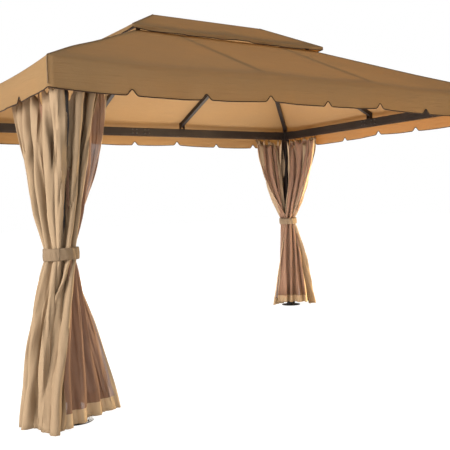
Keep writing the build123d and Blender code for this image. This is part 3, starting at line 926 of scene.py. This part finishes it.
@dataclass
class Gather:
    """One curtain or net, bunched along its rail, tied round its post and flared below the tie.

    Places are measured inward from the middle of the post: first along the long side, then
    along the short one. The reach is where the panel starts and ends along its rail, the lane
    is the rail's distance from the post's middle, and the cut is the flat cloth's width. The
    tie is the arc round the post: its first and last angle in degrees and its radius.
    """

    name: str
    corner: Corner
    rail: Rail
    reach: Plan
    lane: float
    folds: int
    cut: float
    depth: float
    tie: Triple
    tie_depth: float
    hem: list[Plan]
    hem_depth: float
    seed: int
    dips: Plan = (0.02, 0.07)
    per_fold: int = 18
    rows: tuple[int, int, int] = (34, 5, 30)
    top: float = PANEL_TOP
    foot: float = PANEL_FOOT
    tie_height: float = TIE_HEIGHT
    tie_half: float = 0.034
    wander: float = 1.0
    crease: float = 0.006
    calm: float = 0.0
    clear: float = 0.0
    clear_width: float = 0.13
    pull: float = 0.0
    middle: Plan = BUNDLE_MIDDLE
    curl: float = 0.32
    tied_curl: float = 0.15
    skirt_curl: float = 0.14
    bulge: float = 1.9
    pulled_bulge: float = 1.6
    flare: float = 0.78
    lean_pitch: Plan = (0.8, 2.5)
    strong_dips: dict[int, float] = field(default_factory=dict)

    def phases(self, count: int) -> tuple[np.ndarray, np.ndarray]:
        """Fold phase and fold depth for each column, uneven as real folds are.

        Args:
            count: how many columns the panel has.
        Returns:
            The phases in radians, and each column's share of the fold depth.
        """
        draw = np.random.default_rng(self.seed)
        widths = draw.uniform(0.5, 1.5, self.folds)
        edges = np.concatenate([[0], np.cumsum(widths)]) / widths.sum()
        share = np.linspace(0, 1, count)
        phase = np.interp(share, edges, np.arange(self.folds + 1))
        depths = draw.uniform(0.4, 1.0, 2 * self.folds + 2)
        scale = np.interp(phase * 2, np.arange(2 * self.folds + 2), depths)
        if self.calm:
            scale *= 1 - 0.8 * eased(np.clip((share - 1 + self.calm) / (0.5 * self.calm), 0, 1))
        return phase * FULL_TURN, scale

    def fold_line(
        self, base: np.ndarray, limit: float, curl: float, phase: np.ndarray, scale: np.ndarray
    ) -> np.ndarray:
        """Folds laid along a base line, as deep as the cloth's width needs.

        Args:
            base: columns by 2.
            limit: the deepest that half a fold may be.
            curl: how far each fold laps over its neighbours, as a share of its depth.
            phase: each column's fold phase.
            scale: each column's share of the depth.
        Returns:
            Columns by 2.
        """
        lead = np.gradient(base, axis=0)
        lead /= np.linalg.norm(lead, axis=1, keepdims=True) + 1e-12
        side = np.stack([lead[:, 1], -lead[:, 0]], axis=1) * (1 if self.rail is Rail.LONG else -1)
        offset = side * (scale * np.sin(phase))[:, None] - lead * (curl * scale * np.sin(2 * phase))[:, None]
        depths = np.linspace(0.002, limit, 16)
        widths = [np.linalg.norm(np.diff(base + depth * offset, axis=0), axis=1).sum() for depth in depths]
        return base + np.interp(self.cut, widths, depths) * offset

    def build(
        self, material: bpy.types.Material, thickness: float, slot: str
    ) -> tuple[bpy.types.Object, np.ndarray]:
        """Makes the panel.

        Args:
            material: its cloth or net.
            thickness: the sheet's thickness.
            slot: the record's material slot, which is not used.
        Returns:
            The panel, and the places of its hooks.
        """
        columns = self.folds * self.per_fold + 1
        share = np.linspace(0, 1, columns)
        phase, scale = self.phases(columns)
        start, end = self.reach
        run = start + (end - start) * share
        lane = self.lane - self.clear * np.exp(-((run / self.clear_width) ** 2))
        top_base = np.stack([run, lane] if self.rail is Rail.LONG else [lane, run], axis=1)
        first, last, radius = self.tie
        angle = np.radians(first + (last - first) * share)
        tie_base = np.array(self.middle) + radius * np.stack([np.cos(angle), np.sin(angle)], axis=1)
        hem_base = smooth_path(self.hem, columns)
        edge, hooks_at = self._top_edge(phase)
        upper, band, lower = self.rows
        levels, places = [], []
        tie_top, tie_low = self.tie_height + self.tie_half, self.tie_height - self.tie_half
        slack = self.pull * share**1.5
        for index in range(upper):
            height = edge + (tie_top - edge) * (index / upper)
            rise = float(np.clip((height.mean() - tie_top) / (self.top - tie_top), 0, 1))
            blend = 1 - (1 - rise) ** self.bulge
            spread = blend * (1 - slack) + rise**self.pulled_bulge * slack
            base = tie_base + (top_base - tie_base) * spread[:, None]
            limit = self.tie_depth + (self.depth - self.tie_depth) * min(1.0, 3 * blend)
            turned = phase + self._lean(share, rise, self.seed + 2)
            curl = self.tied_curl + (self.curl - self.tied_curl) * blend
            levels.append(height)
            places.append(self.fold_line(base, limit, curl, turned, scale))
        tied = self.fold_line(tie_base, self.tie_depth, self.tied_curl, phase, scale)
        for index in range(band):
            levels.append(np.full(columns, tie_top + (tie_low - tie_top) * index / (band - 1)))
            places.append(tied)
        for index in range(1, lower + 1):
            fall = index / lower
            base = tie_base + (hem_base - tie_base) * fall**self.flare
            limit = self.tie_depth + (self.hem_depth - self.tie_depth) * min(1.0, 2.5 * fall)
            turned = phase + self._lean(share, fall, self.seed + 4)
            levels.append(np.full(columns, tie_low + (self.foot - tie_low) * fall))
            places.append(self.fold_line(base, limit, self.skirt_curl, turned, scale))
        heights = np.array(levels)
        plan = self._crumpled(share, heights, np.array(places))
        sign_x, sign_y = self.corner.value
        points = np.stack(
            [sign_x * (POST_X - plan[..., 0]), sign_y * (POST_Y - plan[..., 1]), heights], axis=-1
        )
        spots = np.stack([np.broadcast_to(share * self.cut, heights.shape), heights - self.foot], axis=-1)
        panel = sheet_object(self.name, points, spots)
        margin = panel.data.attributes.new(MARGIN, "FLOAT", "POINT")
        from_edge = np.broadcast_to(np.minimum(share, 1 - share) * self.cut, heights.shape)
        margin.data.foreach_set("value", from_edge.astype(np.float32).ravel())
        panel.data.materials.append(material)
        thicken(panel, thickness)
        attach(panel, BODY)
        self.top - self.foot
        log.info("%s: %.2f m of cloth in %d folds", self.name, self.cut, self.folds)
        return panel, points[0, hooks_at].copy()

    def _lean(self, share: np.ndarray, level: float, seed: int) -> np.ndarray:
        """How far the folds lean sideways at a level, which is 0 at the tie and 1 at the rail or hem."""
        return self.wander * level * ripple(share, np.full(len(share), 2 * level), seed, self.lean_pitch)

    def _crumpled(self, share: np.ndarray, heights: np.ndarray, plan: np.ndarray) -> np.ndarray:
        """Adds small wrinkles and a sway, which fade towards the tie.

        Args:
            share: each column's place in the panel, from 0 to 1.
            heights: rows by columns.
            plan: rows by columns by 2.
        Returns:
            The new places, rows by columns by 2.
        """
        sway = np.random.default_rng(self.seed + 11).uniform(-1, 1, 2)
        wrinkle = ripple(share[None, :] * 1.5, heights, self.seed + 5, (0.11, 0.5), 6)
        drift = ripple(share[None, :] * 0.6, heights, self.seed + 9, (0.5, 0.9), 4)
        loose = np.clip(np.abs(heights - self.tie_height) / 0.35, 0.1, 1)
        along = (self.crease * wrinkle + 0.005 * drift + 0.003 * sway[0]) * loose
        inward = (self.crease * np.roll(wrinkle, 7, axis=1) + 0.004 * drift + 0.003 * sway[1]) * loose
        return plan + np.stack([along, inward], axis=-1)

    def _top_edge(self, phase: np.ndarray) -> tuple[np.ndarray, list[int]]:
        """The top edge, which dips between the hooks.

        Args:
            phase: each column's fold phase.
        Returns:
            The edge's height at each column, and the columns that hang from a hook.
        """
        draw = np.random.default_rng(self.seed + 1)
        crest = [int(np.argmin(np.abs(phase - (k + 0.25) * FULL_TURN))) for k in range(self.folds)]
        held = sorted({0, *crest, len(phase) - 1})
        edge = np.full(len(phase), self.top)
        for index, (left, right) in enumerate(zip(held, held[1:])):
            usual = draw.uniform(*self.dips)
            dip = self.strong_dips.get(index, usual)
            share = (np.arange(left, right + 1) - left) / max(right - left, 1)
            edge[left : right + 1] -= dip * (0.5 - 0.5 * np.cos(FULL_TURN * share)) ** 0.8
        return edge, held


@dataclass
class TieBand:
    """The band of cloth that ties a bundle to its post, lapped over itself."""

    corner: Corner
    level: float
    middle: Plan
    seed: int
    radius: float = 0.1015
    height: float = 0.074
    thickness: float = 0.0016
    slack: float = 0.0022
    rounding: float = 0.003
    columns: int = 120
    rows: int = 9

    def build(self, material: bpy.types.Material) -> bpy.types.Object:
        """Makes the band.

        Args:
            material: its cloth.
        Returns:
            The band.
        """
        angle = np.linspace(0, TIE_TURNS * FULL_TURN, self.columns)
        spread, up = np.meshgrid(angle, np.linspace(1, -1, self.rows))
        lap = self.slack * (spread / FULL_TURN)
        crease = ripple(spread * self.radius, up * 0.02, self.seed, (0.05, 0.09), 5)
        wide = self.radius - 0.004 + lap + self.slack * crease - self.rounding * up**2
        waves = self.rounding * np.sin(spread + self.seed)
        height = self.level + up * (self.height / 2 - self.rounding) + waves
        sign_x, sign_y = self.corner.value
        x = sign_x * (POST_X - self.middle[0] + wide * np.cos(spread))
        y = sign_y * (POST_Y - self.middle[1] + wide * np.sin(spread))
        chart = np.stack([spread * self.radius, (up + 1) * self.height / 2], axis=-1)
        band = sheet_object("tie_" + self.corner.word, np.stack([x, y, height], axis=-1), chart)
        band.data.materials.append(material)
        thicken(band, self.thickness)
        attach(band, BODY)
        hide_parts("ties")
        TIE_TURNS * FULL_TURN * self.radius
        log.info("tie_%s: %.2f turns round the bundle", self.corner.word, TIE_TURNS)
        return band


@dataclass
class CornerDrape:
    """The two curtains and two nets of one corner, with their hooks and tie.

    The holes are the deep dips between hooks in the two curtains' headings. The skirts are
    hems that differ from the usual ones, by the panel's name.
    """

    corner: Corner
    seed: int
    long_run: Plan
    short_run: Plan
    tie_height: float = TIE_HEIGHT
    spread: float = 1.0
    holes: tuple[dict[int, float], dict[int, float]] = ({1: 0.09}, {1: 0.12})
    skirts: dict[str, list[Plan]] = field(default_factory=dict)
    clear: float = 0.0
    pull: float = 0.0
    middle: Plan = BUNDLE_MIDDLE
    ring_radius: float = 0.009
    ring_lift: float = 0.004

    def _panel(self, panel: str, seed_step: int, hem: list[Plan], **sizes: object) -> Gather:
        """A panel of this corner.

        Args:
            panel: the start of its name.
            seed_step: what is added to the corner's seed.
            hem: the usual places of its hem, which the corner draws in by its spread.
            sizes: its other sizes.
        Returns:
            The panel.
        """
        usual = [(p * self.spread, q * self.spread) for p, q in hem]
        return Gather(
            name=f"{panel}_{self.corner.word}",
            corner=self.corner,
            seed=self.seed + seed_step,
            hem=self.skirts.get(panel, usual),
            tie_height=self.tie_height,
            middle=self.middle,
            **sizes,
        )

    def curtains(self) -> list[Gather]:
        """The two cloth panels: along the long side, then along the short one."""
        shared = {"lane": CURTAIN_LANE, "tie_depth": 0.03, "hem_depth": 0.05}
        return [
            self._panel(
                "curtain_long", 0,
                [(-0.27, -0.14), (-0.22, -0.20), (-0.16, -0.21), (-0.10, -0.18), (-0.05, -0.14)],
                rail=Rail.LONG, reach=self.long_run, folds=3, cut=0.78, depth=0.055 - 0.28 * self.clear,
                tie=(-130.0, -35.0, 0.068), strong_dips=self.holes[0], clear=self.clear, pull=self.pull,
                **shared,
            ),
            self._panel(
                "curtain_short", 20,
                [(-0.27, -0.12), (-0.30, -0.04), (-0.28, 0.10), (-0.21, 0.22), (-0.10, 0.27)],
                rail=Rail.SHORT, reach=self.short_run, folds=4, cut=1.0, depth=0.055,
                tie=(240.0, 85.0, 0.068), strong_dips=self.holes[1], **shared,
            ),
        ]

    def nets(self) -> list[Gather]:
        """The two nets behind the curtains."""
        (long_start, long_end), (short_start, short_end) = self.long_run, self.short_run
        shared = {
            "lane": NET_LANE, "folds": 4, "depth": 0.045, "tie_depth": 0.028, "hem_depth": 0.04,
            "dips": (0.04, 0.14), "crease": 0.003,
        }
        return [
            self._panel(
                "net_long", 40, [(-0.10, -0.16), (0.0, -0.125), (0.09, -0.07), (0.18, -0.03), (0.29, 0.0)],
                rail=Rail.LONG, reach=(long_start + 0.08, long_end + 0.04), cut=0.64,
                tie=(-80.0, 45.0, 0.062), calm=0.45, **shared,
            ),
            self._panel(
                "net_short", 60, [(0.24, 0.02), (0.17, 0.07), (0.10, 0.12), (0.03, 0.20), (-0.05, 0.28)],
                rail=Rail.SHORT, reach=(short_start + 0.03, short_end + 0.02), cut=0.86,
                tie=(10.0, 140.0, 0.062), foot=0.05, **shared,
            ),
        ]

    def build(
        self, cloth: bpy.types.Material, mesh: bpy.types.Material, band: bpy.types.Material, hooks: Recipe
    ) -> None:
        """Makes the panels, hooks and tie of the corner.

        Args:
            cloth: the curtains' material.
            mesh: the nets' material.
            band: the tie's material.
            hooks: the recipe of the runners and rings.
        """
        word = self.corner.word
        places = []
        for gather in self.curtains():
            panel, spots = gather.build(cloth, CURTAIN_THICKNESS, "curtain_cloth")
            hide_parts("curtain_" + word)
            places.append(spots)
        for gather in self.nets():
            panel, spots = gather.build(mesh, NET_THICKNESS, "net_mesh")
            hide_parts("net_" + word)
            places.append(spots)
        hung = np.vstack(places) + [0, 0, self.ring_lift]
        rings = hooks.make(points_object("hooks_" + word, hung.tolist()), {"Ring": self.ring_radius})
        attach(rings, BODY)
        log.info("hooks_%s: %d hooks", word, len(hung))
        TieBand(self.corner, self.tie_height, self.middle, self.seed).build(band)


# Frame and studio


@dataclass
class Fasteners:
    """Bolt heads of the beams' splices, on the beams' inner faces."""

    beam_side: float = 0.0215
    along: tuple[float, ...] = (-0.09, -0.045, 0.045, 0.09)
    below_top: tuple[float, ...] = (0.014, 0.052)
    head_radius: float = 0.0075
    head_height: float = 0.006

    def spots(self) -> list[tuple[Triple, Triple]]:
        """Finds where the heads sit.

        Returns:
            The place and the direction of each head.
        """
        found = []
        heights = [BEAM_TOP - below for below in self.below_top]
        for side in (-1, 1):
            inner_x = side * (POST_X - self.beam_side)
            inner_y = side * (POST_Y - self.beam_side)
            found += [((place, inner_y, z), (0, -side, 0)) for place in self.along for z in heights]
            found += [((inner_x, place, z), (-side, 0, 0)) for place in self.along for z in heights]
        return found

    def build(self, recipe: Recipe) -> bpy.types.Object:
        """Makes all the heads as one piece.

        Args:
            recipe: the recipe of the bolts.
        Returns:
            The piece.
        """
        places, facings = zip(*self.spots())
        guide = points_object("bolt_heads", list(places))
        facing = guide.data.attributes.new(FACING, "FLOAT_VECTOR", "POINT")
        facing.data.foreach_set("vector", np.array(facings, np.float32).ravel())
        recipe.make(guide, {"Head": self.head_radius, "Height": self.head_height})
        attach(guide, BODY)
        log.info("bolt_heads: %d heads", len(places))
        return guide


@dataclass
class Studio:
    """Pale floor, soft light and the camera; angles are in degrees and the lens in millimetres."""

    eye: Triple = (-3.394, -5.156, 1.17)
    yaw: float = 34.049
    pitch: float = -1.502
    roll: float = -2.104
    lens: float = 57.54
    sensor: float = 36.0
    nearest: float = 0.05
    farthest: float = 200.0
    floor_half: float = 40.0
    floor_white: float = 0.72

    def camera(self) -> bpy.types.Object:
        """Makes the scene's camera.

        Returns:
            The camera.
        """
        yaw, pitch, roll = (math.radians(a) for a in (self.yaw, self.pitch, self.roll))
        forward = Vector((math.sin(yaw) * math.cos(pitch), math.cos(yaw) * math.cos(pitch), math.sin(pitch)))
        level = Vector((math.cos(yaw), -math.sin(yaw), 0))
        upright = level.cross(forward)
        right = math.cos(roll) * level + math.sin(roll) * upright
        up = -math.sin(roll) * level + math.cos(roll) * upright
        lens = bpy.data.cameras.new("camera")
        lens.lens = self.lens
        lens.sensor_width = self.sensor
        lens.clip_start = self.nearest
        lens.clip_end = self.farthest
        eye = bpy.data.objects.new("camera", lens)
        axes = Matrix((right, up, -forward)).transposed()
        eye.matrix_world = Matrix.Translation(self.eye) @ axes.to_4x4()
        bpy.context.scene.collection.objects.link(eye)
        bpy.context.scene.camera = eye
        return eye

    def floor(self) -> bpy.types.Object:
        """Makes the floor, white to the camera apart from the shadow on it.

        Returns:
            The floor.
        """
        g = Graph(bpy.data.materials.new("studio_floor"))
        grain = g.noise(g.place(), 3.0)
        colour = g.mix(grain, (0.80, 0.80, 0.80), (0.84, 0.84, 0.84))
        matte = g.node("ShaderNodeBsdfPrincipled", {}, {"Base Color": colour, "Roughness": 0.9})
        white = g.node("ShaderNodeEmission", {}, {"Color": (1.0, 1.0, 1.0), "Strength": 1.3})
        mesh = bpy.data.meshes.new("floor")
        size = self.floor_half
        corners = [(-size, -size, 0), (size, -size, 0), (size, size, 0), (-size, size, 0)]
        mesh.from_pydata(corners, [], [(0, 1, 2, 3)])
        mesh.materials.append(g.surface(g.layered(g.seen_directly() * self.floor_white, matte, white)))
        floor = linked("floor", mesh)
        return floor

    def lamp(self, name: str, place: Triple, aim: Triple, size: float, power: float, colour: Colour) -> None:
        """Adds a square soft light.

        Args:
            name: the lamp's name.
            place: where it stands.
            aim: the point that it faces.
            size: its side.
            power: watts.
            colour: its colour.
        """
        light = bpy.data.lights.new(name, "AREA")
        light.shape = "SQUARE"
        light.size = size
        light.energy = power
        light.color = colour
        lamp = bpy.data.objects.new(name, light)
        lamp.location = place
        lamp.rotation_mode = "QUATERNION"
        lamp.rotation_quaternion = (Vector(aim) - Vector(place)).to_track_quat("-Z", "Y")
        lamp.visible_camera = False
        bpy.context.scene.collection.objects.link(lamp)

    def world(self) -> None:
        """A white background to the camera and a soft warm surround to everything else."""
        g = Graph(bpy.data.worlds.new("studio"), "ShaderNodeOutputWorld")
        soft = g.node("ShaderNodeBackground", {}, {"Color": (1.0, 0.97, 0.93), "Strength": 0.42})
        white = g.node("ShaderNodeBackground", {}, {"Color": (1.0, 1.0, 1.0), "Strength": 1.0})
        bpy.context.scene.world = g.surface(g.layered(g.seen_directly(), soft, white))

    def build(self) -> None:
        """Sets the camera, the floor, the lights and the plain colour transform."""
        bpy.context.scene.view_settings.view_transform = "Standard"
        self.camera()
        self.floor()
        self.world()
        self.lamp("left_lamp", (-7.5, -2.0, 2.6), (-1.0, 0.0, 1.6), 3.6, 680.0, (1.0, 0.95, 0.88))
        self.lamp("right_lamp", (6.6, -1.2, 1.5), (2.0, -0.3, 1.95), 2.4, 1150.0, (1.0, 0.76, 0.42))
        self.lamp("back_lamp", (0.5, 7.5, 2.4), (0.0, 1.4, 1.7), 3.4, 760.0, (1.0, 0.95, 0.88))
        self.lamp("bounce_lamp", (0.3, 0.1, 0.12), (0.3, 0.1, 2.0), 2.6, 80.0, (0.95, 0.96, 1.0))
        self.lamp("front_lamp", (-1.5, -8.5, 2.2), (0.0, 0.0, 1.5), 4.0, 130.0, (1.0, 0.97, 0.93))


def dress_nodes(finishes: dict[str, bpy.types.Material]) -> None:
    """Gives the frame's own nodes their paint.

    Args:
        finishes: a material for each start of a node's name.
    """
    for name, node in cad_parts.items():
        for start, material in finishes.items():
            if name.startswith(start):
                node.data.materials.clear()
                node.data.materials.append(material)


def main() -> None:
    """Builds the whole dressed model, one sub-assembly after the other."""
    logging.basicConfig(level=logging.INFO, format="%(name)s %(message)s")
    Studio().build()
    canopy = ClothFinish(
        "canopy_cloth", light=(0.375, 0.25, 0.13), dark=(0.30, 0.195, 0.095), glow=(0.66, 0.42, 0.19),
        through=0.42, wrinkles=(2.2, 2.2, 34.0), wrinkle_depth=0.02, hem=0.02,
    ).material()
    curtain = ClothFinish(
        "curtain_cloth", light=(0.37, 0.27, 0.175), dark=(0.27, 0.19, 0.12), glow=(0.60, 0.40, 0.23),
        through=0.08, wrinkles=(16.0, 16.0, 2.0), wrinkle_depth=0.006, hem=0.045,
    ).material()
    net = NetFinish(
        "net_mesh", yarn=(0.35, 0.205, 0.135), deep=(0.22, 0.12, 0.08), tape=(0.50, 0.37, 0.235),
        height=PANEL_TOP - PANEL_FOOT,
    ).material()
    tie = ClothFinish(
        "tie_cloth", light=(0.225, 0.16, 0.105), dark=(0.17, 0.12, 0.075), glow=(0.5, 0.34, 0.2),
        through=0.05, wrinkles=(30.0, 30.0, 30.0), wrinkle_depth=0.004, hem=0.012,
    ).material()
    steel = PaintFinish("frame_paint", (0.013, 0.009, 0.008), (0.032, 0.021, 0.016)).material()
    rail = PaintFinish("rail_paint", (0.02, 0.014, 0.012), (0.045, 0.032, 0.026), 0.35).material()
    foot = PaintFinish("foot_paint", (0.014, 0.013, 0.014), (0.035, 0.03, 0.03), 0.5).material()
    piping = TapeFinish("piping_cord", (0.06, 0.034, 0.02), (0.022, 0.012, 0.008)).material()
    steel_nodes = ("post", "beam", "hip", "rafter", "splice", "corner", "crown", "cap_frame")
    dress_nodes({**dict.fromkeys(steel_nodes, steel), "curtain_rails": rail, "feet": foot})
    cord = piping_recipe(piping)
    seam = piping_recipe(tie)
    lower = RoofCloth(
        "canopy_lower", ("canopy_front", "canopy_back", "canopy_left", "canopy_right"),
        half_x=HALF_LENGTH, half_y=HALF_WIDTH, eave=EAVE, inner_y=0.312, top=2.517, drop=0.176,
        scallops=(8, 6), roll=0.055, corner_roll=0.015, supports=(-0.5, 0.5), sag=0.014,
        notch_height=0.034, notch_reach=0.047, hem_sag=0.004, hem_wave=0.005, seed=21, corner_lift=0.008,
    )
    pieces = lower.build(canopy, cord, seam)
    upper = RoofCloth(
        "canopy_upper", ("canopy_top",), half_x=0.932, half_y=0.392, eave=2.537, inner_y=0.0, top=2.743,
        drop=0.03, scallops=(3, 2), roll=0.012, corner_roll=0.006, supports=(0.0,), sag=0.02,
        notch_height=0.0, notch_reach=0.05, hem_sag=0.006, hem_wave=0.012, seed=33,
        slope_rows=20, roll_rows=4, hem_rows=4, spacing=0.03,
    )
    pieces = upper.build(canopy, cord, seam)
    hooks = hook_recipe(rail)
    drapes = [
        CornerDrape(
            Corner.FRONT_LEFT, 100, (-0.075, 0.25), (0.10, 0.80), 0.938, holes=({1: 0.12}, {1: 0.19}),
            middle=(-0.034, 0.0112), clear=0.05, pull=0.9,
            skirts={
                "curtain_long": [
                    (-0.10, -0.06), (-0.17, -0.14), (-0.235, -0.19), (-0.22, -0.23), (-0.16, -0.20),
                ],
                "curtain_short": [
                    (-0.20, -0.15), (-0.26, -0.12), (-0.29, -0.06), (-0.25, 0.03), (-0.17, 0.12),
                ],
                "net_long": [
                    (-0.14, -0.15), (-0.089, -0.179), (0.0, -0.12),
                    (0.09, -0.065), (0.18, -0.03), (0.29, 0.0),
                ],
            },
        ),
        CornerDrape(Corner.BACK_LEFT, 107, (0.02, 0.34), (0.04, 0.50)),
        CornerDrape(Corner.BACK_RIGHT, 114, (0.02, 0.40), (0.04, 0.50), tie_height=0.975, spread=0.88),
        CornerDrape(Corner.FRONT_RIGHT, 121, (0.02, 0.34), (0.03, 0.30), spread=0.85),
    ]
    for drape in drapes:
        drape.build(curtain, net, tie, hooks)
    Fasteners().build(bolt_recipe(rail))


if __name__ == "__main__":
    main()
